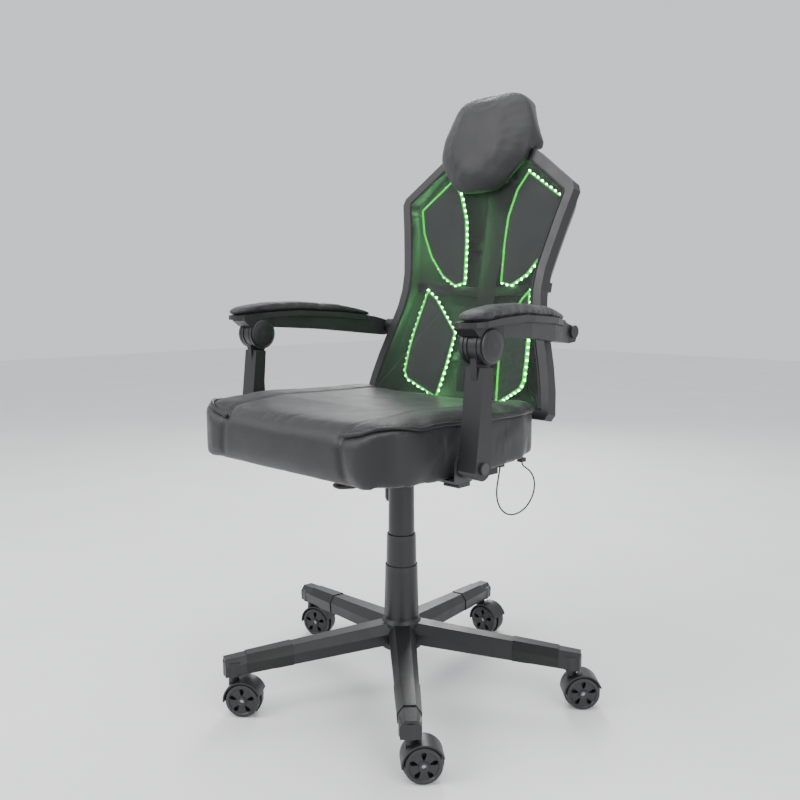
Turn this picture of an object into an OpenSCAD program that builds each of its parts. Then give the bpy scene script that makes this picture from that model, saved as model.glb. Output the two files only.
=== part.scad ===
// Gaming chair: five-star base on casters, gas lift, tilting seat, reclining lit back, linked armrests.
// Millimetres. +Z up, front of the chair is -Y, origin on the floor under the column.

/* [Part to show] */
// Which part to show

/* [Base] */
// Centre of the column to the tip of a leg
base_radius = 350; // [280:5:420]
// Turn of the base about the column, degrees
base_turn = -43.6; // [-72:0.2:72]
// Caster wheel diameter
wheel_diameter = 63; // [50:1:76]
// Width of one caster wheel
wheel_width = 15; // [10:0.5:18]
// Caster stem diameter
stem_diameter = 11; // [9:0.5:13]

/* [Gas lift] */
// Travel of the lift below its top position
lift_stroke = 80; // [60:1:96]
// Diameter of the sliding rod
rod_diameter = 28; // [22:0.5:34]
// Diameter of the outer lift tube
tube_diameter = 50; // [44:0.5:54]

/* [Seat] */
// Width of the seat cushion
seat_width = 524; // [430:2:630]
// Depth of the seat cushion, front to rear
seat_depth = 434; // [360:2:440]
// Height of the seat top above the floor with the lift up
seat_top = 575; // [560:1:620]
// Seat tilt pin diameter
tilt_pin_diameter = 12; // [8:0.5:16]

/* [Back] */
// Height scale of the back
back_scale = 1.0; // [0.8:0.01:1.2]
// Lean of the back at rest, degrees
back_lean = 13.17; // [5:0.01:25]
// Width of the frame bar
frame_bar = 24; // [18:1:32]
// Depth of the frame, front to rear
frame_depth = 24; // [18:1:30]
// Recline pin diameter
recline_pin_diameter = 12; // [9:0.5:15]

/* [Armrests] */
// Height from the foot pin to the elbow pin
post_length = 190.6; // [160:0.2:228.7]
// Thickness of the armrest post
post_thickness = 36; // [28:1:44]
// Elbow and foot pin diameter
arm_pin_diameter = 10; // [8:0.5:12]
// Width of the padded top
pad_width = 54; // [44:1:64]

/* [Headrest] */
// Width of the head cushion at its widest
head_width = 236; // [190:2:280]
// Height of the head cushion
head_height = 208; // [170:2:240]

/* [Lead] */
// Diameter of the hanging lead
lead_diameter = 2.8; // [2:0.1:4]

/* [Hidden] */
// Smoothness
$fn = 96;
run = 0.05;
wheel_r = wheel_diameter / 2;
stem_r = stem_diameter / 2;
stem_circle = base_radius - 19;
trail = 20;
leg_low = wheel_diameter + 13;
leg_tip_top = leg_low + 32;
hub_top = 141;
rod_r = rod_diameter / 2;
tube_r = tube_diameter / 2;
tube_top = 212;
tip_r = tilt_pin_diameter / 2;
rp_r = recline_pin_diameter / 2;
ap_r = arm_pin_diameter / 2;
// seat levels
sz = seat_top - 575;
hw = seat_width / 2;
board_low = 478 + sz;
tilt_y = 45;
tilt_z = 452 + sz;
front_y = 130 - seat_depth;
// armrest linkage
ac = hw + 28;
p1 = [ -137, 502 + sz ];
lean = 4.514;
p2 = p1 + post_length * [ sin(lean), cos(lean) ];
p4 = [ 180, 512 + sz ];
p3 = p4 + (p2 - p1);
x1 = ac - post_thickness / 2;
x2 = ac + post_thickness / 2;
// back plane
b0 = [ 0, 148, 544 + sz ];
fd = frame_depth / 2;
angs = [ base_turn - 72, base_turn, base_turn + 72, base_turn + 144, base_turn + 216 ];
heads = [ 38.4, 48.7, 44.7, 4.0, 18.4 ];
outline = [ [ 234, -6 ], [ 241, 6 ], [ 234, 50 ], [ 222, 96 ], [ 205, 148 ], [ 187, 205 ], [ 182, 240 ],
  [ 184, 278 ], [ 193, 320 ], [ 206, 375 ], [ 221, 432 ], [ 216, 446 ], [ 121, 519 ], [ 110, 523 ] ];
upper = [ [ 99, 481 ], [ 181, 424 ], [ 172, 375 ], [ 146, 323 ], [ 110, 281 ], [ 74, 260 ], [ 50, 266 ],
  [ 52, 345 ], [ 57, 397 ], [ 75, 449 ] ];
lower = [ [ 132, 242 ], [ 149, 154 ], [ 154, 117 ], [ 157, 66 ], [ 149, 51 ], [ 78, 20 ], [ 66, 90 ],
  [ 58, 159 ], [ 112, 228 ] ];
// the free loop of the lead: points [y, height from the board] in the plane x = lead_x
lead_x = 226;
lead_pts = [ [ 14, -2 ], [ 13, -14 ], [ 9, -30 ], [ 6, -46 ], [ 7, -62 ], [ 13, -76 ], [ 25, -89 ],
  [ 42, -98 ],
  [ 62, -101 ], [ 84, -98 ], [ 102, -89 ], [ 115, -75 ], [ 120, -58 ], [ 116, -42 ], [ 105, -29 ],
    [ 91, -20 ],
  [ 81, -13 ], [ 78, -2 ] ];
function sc(pts) = [ for (p = pts) [ p[0], p[1] * back_scale ] ];
function mir(pts) = concat(pts, [ for (i = [ len(pts) - 1 : -1 : 0 ]) [ -pts[i][0], pts[i][1] ] ]);
function arc(cx, cy, r, a0, a1, n = 6) =
  [ for (i = [ 0 : n ]) [ cx + r * cos(a0 + (a1 - a0) * i / n), cy + r * sin(a0 + (a1 - a0) * i / n) ] ];

module box(a, b) { translate(a) cube(b - a); }
module xcyl(r, xa, xb, y, z) { translate([ xa, y, z ]) rotate([ 0, 90, 0 ]) cylinder(r = r,
  h = xb - xa); }
module ycyl(r, ya, yb, x, z) { translate([ x, yb, z ]) rotate([ 90, 0, 0 ]) cylinder(r = r,
  h = yb - ya); }
// side profile [y, z] made thick from xa to xb
module side(xa, xb, pts) {
  translate([ xa, 0, 0 ]) rotate([ 90, 0, 90 ]) linear_extrude(height = xb - xa) polygon(pts);
}
module back_place() { translate(b0) rotate([ -back_lean, 0, 0 ]) children(); }
// outline in the plane of the back made thick from depth a to depth b
module sheet(a, b) { translate([ 0, b, 0 ]) rotate([ 90, 0,
  0 ]) linear_extrude(height = b - a) children(); }

// ---------- base ----------
module leg_bar(g = 0) {
  hull() {
    translate([ 20, 0, 0 ]) rotate([ 90, 0, 90 ]) linear_extrude(height = 1) polygon([
      [ -25 - g, 96 ], [ 25 + g, 96 ], [ 27 + g, 118 ], [ 15, 136 + g ], [ -15, 136 + g ], [ -27 - g,
        118 ] ]);
    translate([ base_radius - 3, 0, 0 ]) rotate([ 90, 0, 90 ]) linear_extrude(height = 1) polygon([
      [ -17 - g, leg_low ], [ 17 + g, leg_low ], [ 18 + g, leg_tip_top - 12 ],
      [ 10, leg_tip_top + g ], [ -10, leg_tip_top + g ], [ -18 - g, leg_tip_top - 12 ] ]);
  }
}
module star_base() {
  color("#1c1c1e") difference() {
    union() {
      for (a = angs) rotate([ 0, 0, a ]) {
        leg_bar();
        translate([ stem_circle, 0, leg_low ]) cylinder(r = 19, h = 26);
      }
      translate([ 0, 0, 84 ]) cylinder(r1 = 40, r2 = 39, h = 50);
      translate([ 0, 0, 134 ]) cylinder(r1 = 39, r2 = 35, h = hub_top - 134);
    }
    translate([ 0, 0, 60 ]) cylinder(r = tube_r, h = 120);
    for (a = angs) rotate([ 0, 0, a ]) translate([ stem_circle, 0, leg_low - 5 ])
      cylinder(r = stem_r + run, h = 30);
  }
}
module leg_grips() {
  color("#26262a") for (a = angs) rotate([ 0, 0, a ]) difference() {
    intersection() {
      leg_bar(1.6);
      box([ base_radius - 128, -30, leg_low + 6 ], [ base_radius - 42, 30, 150 ]);
    }
    leg_bar(0);
  }
}
module lift_tube() {
  color("#2b2b2e") difference() {
    translate([ 0, 0, 82 ]) cylinder(r = tube_r, h = tube_top - 82);
    translate([ 0, 0, 88 ]) cylinder(r = rod_r + run, h = 200);
  }
}
module sleeve(z0, z1, r0, r1, ri) {
  difference() {
    translate([ 0, 0, z0 ]) union() {
      cylinder(r1 = r0, r2 = r1, h = z1 - z0);
      cylinder(r = r0 + 0.8, h = 4);
    }
    translate([ 0, 0, z0 - 1 ]) cylinder(r = ri, h = z1 - z0 + 2);
  }
}
module lower_sleeve() { color("#222224") sleeve(hub_top, 248, 34.0, 31.6, tube_r + 6.2); }
module middle_sleeve() { color("#222224") sleeve(240, 309, 29.6, 28.6, tube_r + 2.2); }
module upper_sleeve() {
  color("#222224") difference() {
    union() {
      sleeve(300, 424 + sz, 25.7, 24.5, 23.2);
      translate([ 0, 0, 418 + sz ]) cylinder(r = 24.4, h = 6);
    }
    translate([ 0, 0, 380 + sz ]) cylinder(r = rod_r, h = 80);
  }
}
module lift_rod() {
  color("#b9bcc0") translate([ 0, 0, 88 + lift_stroke + 7 ]) cylinder(r = rod_r, h = 452 + sz - 95 - lift_stroke);
}

// ---------- mechanism ----------
module tilt_housing() {
  lx = -70;
  color("#2a2a2c") difference() {
    union() {
      difference() {
        side(-60, 60, [ [ -95, 444 + sz ], [ -70, 430 + sz ], [ 80, 430 + sz ], [ 105, 444 + sz ],
          [ 105, 460 + sz ], [ -95, 464 + sz ] ]);
        side(-56, 56, [ [ -91, 446 + sz ], [ -69, 434 + sz ], [ 79, 434 + sz ], [ 101, 446 + sz ],
          [ 101, 480 + sz ], [ -91, 480 + sz ] ]);
      }
      translate([ 0, 0, 425 + sz ]) cylinder(r = 27, h = 33);
      for (y = [ -4.5, 10.5 ]) box([ lx - 9, y, 440 + sz ], [ -59, y + 4, 457 + sz ]);
      ycyl(3, -4.5, 14.5, lx, 449 + sz);
    }
    translate([ 0, 0, 400 + sz ]) cylinder(r = rod_r + run, h = 52.1);
    xcyl(tip_r, -70, 70, tilt_y, tilt_z);
    translate([ -46, 25, 420 + sz ]) cylinder(r = 5 + run, h = 20);
  }
}
module tilt_pin() {
  color("#9a9ca0") {
    xcyl(tip_r, -74, 74, tilt_y, tilt_z);
    for (s = [ -1, 1 ]) xcyl(tip_r + 3, s * 72.5 - 1.5, s * 72.5 + 1.5, tilt_y, tilt_z);
  }
}
module height_lever() {
  lx = -70;
  color("#1f1f22") {
    difference() {
      union() {
        ycyl(7, 0, 10, lx, 449 + sz);
        hull() {
          translate([ lx - 4, 5, 446 + sz ]) sphere(r = 4.5, $fn = 20);
          translate([ -112, 5, 396 + sz ]) sphere(r = 5, $fn = 20);
        }
        hull() {
          translate([ -112, 5, 392 + sz ]) sphere(r = 8, $fn = 20);
          translate([ -136, -10, 386 + sz ]) scale([ 1.4, 1, 0.6 ]) sphere(r = 16, $fn = 28);
          translate([ -152, -22, 382 + sz ]) scale([ 1.4, 1, 0.5 ]) sphere(r = 14, $fn = 28);
        }
      }
      ycyl(3 + run, -10, 20, lx, 449 + sz);
    }
  }
}
module tension_knob() {
  color("#1f1f22") translate([ -46, 25, 0 ]) {
    difference() {
      translate([ 0, 0, 362 + sz ]) union() {
        cylinder(r1 = 15, r2 = 17, h = 6);
        translate([ 0, 0, 6 ]) cylinder(r = 17, h = 24);
        translate([ 0, 0, 30 ]) cylinder(r1 = 17, r2 = 10, h = 6);
      }
      for (i = [ 0 : 11 ]) rotate([ 0, 0, i * 30 ]) translate([ 18.4, 0,
        360 + sz ]) cylinder(r = 2.4, h = 33, $fn = 24);
    }
    translate([ 0, 0, 396 + sz ]) cylinder(r = 5, h = 46);
  }
}

// ---------- seat ----------
module seat_plate() {
  color("#2a2a2c") difference() {
    union() {
      box([ -110, -130, 474 + sz ], [ 110, 120, 478 + sz ]);
      for (s = [ -1, 1 ]) side(s * 66 - 2, s * 66 + 2, [ [ tilt_y - 32, 474 + sz ], [ tilt_y - 14,
        440 + sz ],
        [ tilt_y + 14, 440 + sz ], [ tilt_y + 32, 474 + sz ] ]);
    }
    xcyl(tip_r + run, -80, 80, tilt_y, tilt_z);
    for (x = [ -95, 95 ], y = [ -110, 100 ]) translate([ x, y, 470 + sz ]) cylinder(r = 4.2, h = 12);
  }
}
module seat_outline(g) {
  w = hw - g;
  f = front_y + g;
  r = 130 - g;
  polygon(mir(concat([ [ 0, f ] ], arc(w - 90, f + 78, 80, -86, -12, 8), [ [ w - 2, f + 190 ] ],
    [ [ w - 12, r - 70 ] ], arc(w - 64, r - 42, 40, 0, 88, 6), [ [ 0, r ] ])));
}
module seat_board() {
  color("#3a2f26") difference() {
    translate([ 0, 0, board_low ]) linear_extrude(height = 12) seat_outline(16);
    for (x = [ -95, 95 ], y = [ -110, 100 ]) translate([ x, y, 470 + sz ]) cylinder(r = 4.2, h = 30);
  }
}
module seat_bolts() {
  color("#9a9ca0") for (x = [ -95, 95 ], y = [ -110, 100 ]) translate([ x, y, 0 ]) {
    translate([ 0, 0, 469 + sz ]) cylinder(r = 8, h = 5);
    translate([ 0, 0, 470 + sz ]) cylinder(r = 4.2, h = 20);
  }
}
module seat_cushion() {
  t = seat_top;
  b = board_low + 12;
  color("#1b1b1d") intersection() {
    translate([ 0, 0, b ]) linear_extrude(height = 100) seat_outline(0);
    side(-hw, hw, concat([ [ front_y + 8, b ], [ front_y, b + 18 ] ], arc(front_y + 34, t - 42, 34,
      180, 96, 6),
      [ [ -150, t ], [ 20, t - 6 ], [ 104, t - 4 ] ], arc(130 - 22, t - 26, 22, 80, 0, 5), [ [ 130,
        b ] ]));
    translate([ 0, 200, 0 ]) rotate([ 90, 0, 0 ]) linear_extrude(height = 900) polygon(mir(concat(
      [ [ hw - 10, b ], [ hw, b + 14 ] ], arc(hw - 30, t - 24, 30, 0, 74, 6), [ [ hw - 60, t + 3 ],
        [ 0, t + 1 ] ])));
  }
}
module arm_bracket(s) {
  xe = x1 - 4;
  color("#232325") difference() {
    union() {
      box([ s > 0 ? 130 : -x1 + 2, p1[0] - 20, 474 + sz ], [ s > 0 ? x1 - 2 : -130, p1[0] + 20,
        478 + sz ]);
      side(s * xe - 2, s * xe + 2, concat([ [ p1[0] - 20, 474 + sz ], [ p1[0] + 20, 474 + sz ] ],
        arc(p1[0], p1[1], 20, 0, 180, 12)));
    }
    xcyl(ap_r, s * xe - 5, s * xe + 5, p1[0], p1[1]);
  }
}
module foot_pin(s) {
  xe = x1 - 4;
  color("#8d9094") {
    xcyl(ap_r, s > 0 ? xe - 4 : -x2 - 1, s > 0 ? x2 + 1 : -xe + 4, p1[0], p1[1]);
    xcyl(ap_r + 3.5, s > 0 ? xe - 5 : -xe + 2, s > 0 ? xe - 2 : -xe + 5, p1[0], p1[1]);
    xcyl(ap_r + 4.5, s > 0 ? x2 + 0.5 : -x2 - 4.5, s > 0 ? x2 + 4.5 : -x2 - 0.5, p1[0], p1[1]);
  }
}
rx = 141;
module recline_bracket(s) {
  color("#232325") difference() {
    union() {
      box([ s > 0 ? rx - 27 : -rx - 2, 40, 474 + sz ], [ s > 0 ? rx + 2 : -rx + 27, 200, 478 + sz ]);
      side(s * rx - 2, s * rx + 2, concat([ [ 142, 474 + sz ], [ 200, 474 + sz ] ], arc(180,
        512 + sz, 20, 0, 150, 12)));
    }
    xcyl(rp_r, s * rx - 5, s * rx + 5, p4[0], p4[1]);
  }
}
module recline_pin(s) {
  color("#8d9094") {
    xcyl(rp_r, s > 0 ? rx - 5 : -rx - 17, s > 0 ? rx + 17 : -rx + 5, p4[0], p4[1]);
    xcyl(rp_r + 3, s > 0 ? rx - 5 : -rx + 2, s > 0 ? rx - 2 : -rx + 5, p4[0], p4[1]);
    xcyl(rp_r + 3, s > 0 ? rx + 14.5 : -rx - 17.5, s > 0 ? rx + 17.5 : -rx - 14.5, p4[0], p4[1]);
  }
}
module light_controller() {
  color("#161617") difference() {
    box([ 166, -42, board_low - 22 ], [ 214, 24, board_low ]);
    for (y = [ -24, -6 ]) translate([ 213, y, board_low - 12 ]) rotate([ 0, 90,
      0 ]) cylinder(r = 3.5, h = 4);
    for (s = [ 0, 1 ]) translate([ 166 + 48 * s, -50, board_low - 22 ]) rotate([ 0, 45,
      0 ]) cube([ 5, 100, 5 ], center = true);
  }
}
module battery_strap() {
  color("#141415") difference() {
    box([ 184, -88, board_low - 30 ], [ 218, -58, board_low ]);
    box([ 187, -100, board_low - 27 ], [ 215, -40, board_low - 2 ]);
  }
}
function lead_at(t) = let (n = len(lead_pts), i = min(floor(t), n - 2), u = t - i,
  a = i > 0 ? lead_pts[i - 1] : 2 * lead_pts[0] - lead_pts[1], b = lead_pts[i], c = lead_pts[i + 1],
  d = i < n - 2 ? lead_pts[i + 2] : 2 * lead_pts[n - 1] - lead_pts[n - 2])
  (2 * b + (c - a) * u + (2 * a - 5 * b + 4 * c - d) * u * u + (3 * b - a - 3 * c + d) * u * u * u) / 2;
module light_lead() {
  k = 8;
  route = [ for (i = [ 0 : 3 * (len(lead_pts) - 1) ]) lead_at(i / 3) ];
  n = len(route);
  color("#18181a") polyhedron(
    points = [ for (i = [ 0 : n - 1 ]) let (p = route[i], q = route[min(i + 1,
      n - 1)] - route[max(i - 1, 0)],
      d = i == 0 ? [ 0, -1 ] : i == n - 1 ? [ 0, 1 ] : q / norm(q)) for (j = [ 0 : k - 1 ])
      let (c = lead_diameter / 2 * cos(360 * j / k), w = lead_diameter / 2 * sin(360 * j / k))
      [ lead_x + c, p[0] - w * d[1], board_low + p[1] + w * d[0] ] ],
    faces = concat([ [ for (j = [ 0 : k - 1 ]) j ] ],
      [ for (i = [ 0 : n - 2 ], j = [ 0 : k - 1 ]) [ i * k + j, (i + 1) * k + j,
        (i + 1) * k + (j + 1) % k,
        i * k + (j + 1) % k ] ],
      [ [ for (j = [ k - 1 : -1 : 0 ]) (n - 1) * k + j ] ]));
}
module lead_clips() {
  color("#18181a") for (y = [ 14, 78 ]) difference() {
    box([ lead_x - 5, y - 7, board_low - 7 ], [ lead_x + 5, y + 7, board_low ]);
    box([ lead_x - 2.4, y - 3.4, board_low - 8 ], [ lead_x + 2.4, y + 4.4, board_low - 1.5 ]);
  }
}

// ---------- back ----------
module ring2d() {
  difference() {
    polygon(mir(sc(outline)));
    offset(delta = -frame_bar) polygon(mir(sc(outline)));
  }
}
module back_frame() {
  color("#202022") difference() {
    union() {
      back_place() sheet(-fd, fd) ring2d();
      for (s = [ -1, 1 ]) {
        side(s * (rx + 9) - 5, s * (rx + 9) + 5, [ [ 170, p4[1] - 15 ], [ 193, p4[1] + 13 ], [ 164, 556 + sz ],
          [ 142, 548 + sz ] ]);
        xcyl(18, s * (rx + 9) - 5, s * (rx + 9) + 5, p4[0], p4[1]);
        xcyl(15, s > 0 ? 188 : -ac + 62, s > 0 ? ac - 62 : -188, p3[0], p3[1]);
        xcyl(7, s > 0 ? 188 : -ac + 33, s > 0 ? ac - 33 : -188, p3[0], p3[1]);
        xcyl(12, s > 0 ? ac - 36.5 : -ac + 33, s > 0 ? ac - 33 : -ac + 36.5, p3[0], p3[1]);
      }
    }
    for (s = [ -1, 1 ]) xcyl(rp_r + run, s * (rx + 9) - 8, s * (rx + 9) + 8, p4[0], p4[1]);
    back_place() for (x = [ -22, 22 ]) translate([ x, fd - 8, 508 * back_scale ]) rotate([ -90, 0,
      0 ]) cylinder(r = 3, h = 20);
  }
}
module back_spine() {
  k = back_scale;
  color("#1a1a1c") back_place() {
    sheet(54, 66) polygon(mir([ [ 34, -4 * k ], [ 44, 60 * k ], [ 40, 140 * k ], [ 24, 220 * k ],
      [ 22, 262 * k ],
      [ 28, 380 * k ], [ 40, 505 * k ] ]));
    box([ -34, fd, 0 ], [ 34, 60, 16 * k ]);
    box([ -40, fd, 486 * k ], [ -30, 60, 502 * k ]);
    box([ 30, fd, 486 * k ], [ 40, 60, 502 * k ]);
    for (s = [ 0, 1 ]) mirror([ s, 0, 0 ]) {
      translate([ 0, 0, 242 * k ]) linear_extrude(height = 18 * k)
        polygon([ [ 180, fd ], [ 166, fd ], [ 150, 20 ], [ 18, 56 ], [ 18, 66 ], [ 60, 60 ], [ 150,
          34 ], [ 180, 26 ] ]);
      box([ 20, 56, 341 * k ], [ 112, 62, 359 * k ]);
      ycyl(5, 28.6, 58, 100, 350 * k);
      ycyl(5, 30, 58, 70, 350 * k);
      box([ 20, 56, 101 * k ], [ 118, 62, 119 * k ]);
      ycyl(5, 38.2, 58, 100, 110 * k);
    }
  }
}
module back_mesh() {
  color("#101012") back_place() sheet(-fd - 1.6, -fd) offset(delta = -5) polygon(mir(sc(outline)));
}
module upper_place() { translate([ 0, 12, 440 * back_scale ]) rotate([ 8, 0, 0 ]) translate([ 0, 0,
  -440 * back_scale ]) children(); }
module lower_place() { translate([ 155, 13, 0 ]) rotate([ 0, 0, -19.8 ]) scale([ 1.0, 1,
  1 ]) translate([ -155, 0, 0 ]) children(); }
module back_panels() {
  color("#5d6164") back_place() for (s = [ 0, 1 ]) mirror([ s, 0, 0 ]) {
    upper_place() sheet(0, 3) polygon(sc(upper));
    lower_place() sheet(0, 3) polygon(sc(lower));
  }
}
module light_strips() {
  color("#18ff30") back_place() for (s = [ 0, 1 ]) mirror([ s, 0, 0 ]) {
    upper_place() sheet(-1.5, 1.5) difference() {
      offset(delta = 7) polygon(sc(upper));
      polygon(sc(upper));
    }
    lower_place() sheet(-1.5, 1.5) difference() {
      offset(delta = 7) polygon(sc(lower));
      polygon(sc(lower));
    }
  }
}
hv = 536 * back_scale;
module head_bracket() {
  color("#202022") back_place() difference() {
    sheet(fd, fd + 4) polygon([ [ -28, 490 * back_scale ], [ 28, 490 * back_scale ], [ 34, hv + 60 ],
      [ -34, hv + 60 ] ]);
    for (x = [ -22, 22 ], v = [ 508 * back_scale, hv + 48 ]) translate([ x, fd - 8, v ])
      rotate([ -90, 0, 0 ]) cylinder(r = 3, h = 20);
  }
}
module back_screws() {
  color("#8d9094") back_place() for (x = [ -22, 22 ], v = [ 508 * back_scale, hv + 48 ]) {
    translate([ x, fd + 4, v ]) rotate([ -90, 0, 0 ]) cylinder(r1 = 6, r2 = 4.5, h = 3);
    translate([ x, fd - 7, v ]) rotate([ -90, 0, 0 ]) cylinder(r = 3, h = 12);
  }
}
module head_outline() {
  w = head_width / 2;
  h = head_height;
  polygon(mir(concat([ [ 0, hv - h * 0.49 ], [ w * 0.34, hv - h * 0.475 ], [ w * 0.56, hv - h * 0.41 ],
    [ w * 0.93, hv - h * 0.17 ], [ w, hv - h * 0.06 ], [ w * 0.99, hv + h * 0.06 ], [ w * 0.72,
      hv + h * 0.44 ],
    [ w * 0.6, hv + h * 0.5 ] ])));
}
module head_cushion() {
  color("#3a3a3d") back_place() difference() {
    union() {
      sheet(-58, -fd - 2.2) head_outline();
      intersection() {
        sheet(-20, fd) head_outline();
        box([ -200, -100, 527 * back_scale ], [ 200, 100, 900 ]);
      }
    }
    for (x = [ -22, 22 ]) translate([ x, fd - 8, hv + 48 ]) rotate([ -90, 0, 0 ]) cylinder(r = 3, h = 20);
  }
}

// ---------- armrests, modelled on the +X side and mirrored ----------
module post() {
  n = post_length;
  color("#1d1d1f") difference() {
    translate([ 0, p1[0], p1[1] ]) rotate([ -lean, 0, 0 ]) {
      side(x1, x2, concat(arc(0, 0, 19.5, 200, 345, 14), [ [ 19, 28 ], [ 11, n * 0.5 ],
        [ 11, n - 34 ], [ -13, n - 34 ], [ -15, n * 0.5 ] ]));
      side(ac - 6, ac + 6, concat([ [ -13, n - 60 ], [ 11, n - 60 ] ], arc(0, n, 28.5, -48, 228, 30)));
    }
    xcyl(ap_r + run, x1 - 5, x2 + 5, p1[0], p1[1]);
    xcyl(ap_r + run, x1 - 5, x2 + 5, p2[0], p2[1]);
  }
}
module pad_plan() {
  w = pad_width / 2;
  y0 = p2[0] - 56;
  y1 = p2[0] + 278;
  polygon(concat(arc(ac + 10, y0 + w, w, 180, 360, 12), [ [ ac + w - 11, 0 ], [ ac + w - 32, 100 ] ],
    arc(ac - 38, y1 - 20, 20, 0, 180, 8), [ [ ac - w - 25, 100 ], [ ac - w - 9, 0 ] ]));
}
function seam(q) = [ [ q[0] - 56, q[1] + 36 ], [ q[0] + 22, q[1] + 43 ], [ q[0] + 94, q[1] + 46 ],
  [ q[0] + 202, q[1] + 40 ], [ q[0] + 278, q[1] + 31 ] ];
module arm() {
  q = p2;
  e = p3;
  color("#1d1d1f") difference() {
    union() {
      intersection() {
        side(ac - 80, ac + 50, concat(seam(q), [ [ q[0] + 278, q[1] + 21 ], [ q[0] + 202, q[1] + 29 ],
          [ q[0] + 94, q[1] + 35 ], [ q[0] + 22, q[1] + 32 ], [ q[0] - 56, q[1] + 28 ] ]));
        translate([ 0, 0, 500 ]) linear_extrude(height = 500) offset(delta = -1.2) pad_plan();
      }
      intersection() {
        side(ac - 80, ac + 50, [ [ q[0] - 44, q[1] + 26 ], [ q[0] - 30, q[1] + 15 ], [ q[0] + 34, q[1] + 12 ],
          [ q[0] + 150, q[1] + 5 ], [ e[0] - 14, e[1] - 21 ], [ e[0] + 8, e[1] - 19 ], [ e[0] + 14, e[1] - 6 ],
          [ e[0] - 6, e[1] + 12 ], [ q[0] + 278, q[1] + 30.5 ], [ q[0] + 202, q[1] + 39 ],
          [ q[0] + 94, q[1] + 45 ], [ q[0] + 22, q[1] + 42 ], [ q[0] - 44, q[1] + 36 ] ]);
        translate([ 0, 0, 500 ]) linear_extrude(height = 500) polygon([ [ ac - 20, q[0] - 44 ],
          [ ac + 20, q[0] - 44 ], [ ac + 20, q[0] + 30 ], [ ac + 8, 0 ], [ ac - 12, 100 ],
          [ ac - 37, e[0] - 16 ], [ ac - 37, e[0] + 15 ], [ ac - 61, e[0] + 15 ], [ ac - 61, e[0] - 18 ],
          [ ac - 46, 100 ], [ ac - 28, 0 ], [ ac - 20, q[0] + 30 ] ]);
      }
      difference() {
        xcyl(30, ac - 20, ac + 20, q[0], q[1]);
        for (s = [ -1, 1 ]) difference() {
          xcyl(31, ac + s * 13 - 1, ac + s * 13 + 1, q[0], q[1]);
          xcyl(28.6, ac + s * 13 - 2, ac + s * 13 + 2, q[0], q[1]);
        }
      }
    }
    xcyl(30.2, ac - 6.4, ac + 6.4, q[0], q[1]);
    translate([ ac - 6.4, q[0] - 28, q[1] - 60 ]) cube([ 12.8, 60, 60 ]);
    xcyl(ap_r, ac - 30, ac + 30, q[0], q[1]);
    xcyl(7.5, ac - 80, ac - 30, e[0], e[1]);
  }
}
module arm_pad() {
  q = p2;
  color("#151517") intersection() {
    side(ac - 80, ac + 50, concat(seam(q), [ [ q[0] + 278, q[1] + 34 ], [ q[0] + 262, q[1] + 43 ],
      [ q[0] + 190, q[1] + 57 ], [ q[0] + 94, q[1] + 63 ], [ q[0] + 22, q[1] + 61 ], [ q[0] - 32, q[1] + 54 ],
      [ q[0] - 50, q[1] + 48 ], [ q[0] - 56, q[1] + 42 ] ]));
    union() {
      translate([ 0, 0, 500 ]) linear_extrude(height = q[1] - 448) pad_plan();
      translate([ 0, 0, 500 ]) linear_extrude(height = 500) offset(delta = -6) pad_plan();
    }
  }
}
module elbow_pin() { color("#8d9094") xcyl(ap_r, ac - 20, ac + 20, p2[0], p2[1]); }
module elbow_caps() {
  color("#26262a") translate([ ac, p2[0], p2[1] ]) for (s = [ 90, -90 ]) rotate([ 0, s, 0 ])
    translate([ 0, 0, 20 ]) rotate_extrude() polygon([ [ 0, 0 ], [ 27, 0 ], [ 27, 1.8 ], [ 25, 3.2 ],
      [ 17, 4.6 ], [ 0, 5.4 ] ]);
}

// ---------- casters ----------
module caster_place(i) {
  rotate([ 0, 0, angs[i] ]) translate([ stem_circle, 0, 0 ]) rotate([ 0, 0,
    heads[i] - angs[i] ]) children();
}
gap = 6.4;
module fork(i) {
  w = gap + wheel_width;
  color("#1d1d1f") caster_place(i) difference() {
    union() {
      difference() {
        union() {
          intersection() {
            ycyl(wheel_r + 4.4, -w + 1, w - 1, trail, wheel_r);
            translate([ trail, 0, wheel_r + 4 ]) rotate([ 0, -12, 0 ]) box([ -60, -30, 0 ], [ 60, 30,
              60 ]);
          }
          ycyl(wheel_r + 3, -5.8, 5.8, trail, wheel_r);
        }
        for (s = [ -1, 1 ]) ycyl(wheel_r + 1.6, s > 0 ? 5.8 : -40, s > 0 ? 40 : -5.8, trail, wheel_r);
      }
      intersection() {
        translate([ 0, 0, wheel_r + 12 ]) cylinder(r = 9.5, h = wheel_r - 3.5);
        union() {
          box([ -20, -5.8, 0 ], [ 20, 5.8, 200 ]);
          box([ -20, -20, wheel_r + 30.5 ], [ 20, 20, 200 ]);
        }
      }
    }
    translate([ -50, -50, -10 ]) cube([ 150, 100, 16 ]);
    ycyl(4, -40, 40, trail, wheel_r);
    translate([ 0, 0, wheel_r + 31 ]) cylinder(r = stem_r, h = 90);
  }
}
module stem(i) {
  w = gap + wheel_width;
  color("#9a9ca0") caster_place(i) {
    translate([ 0, 0, wheel_r + 31 ]) cylinder(r = stem_r, h = leg_low + 23 - wheel_r - 31);
    translate([ 0, 0, leg_low - 4 ]) cylinder(r = stem_r + 3, h = 2.5);
    ycyl(4, -w + 2, w - 2, trail, wheel_r);
  }
}
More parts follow.
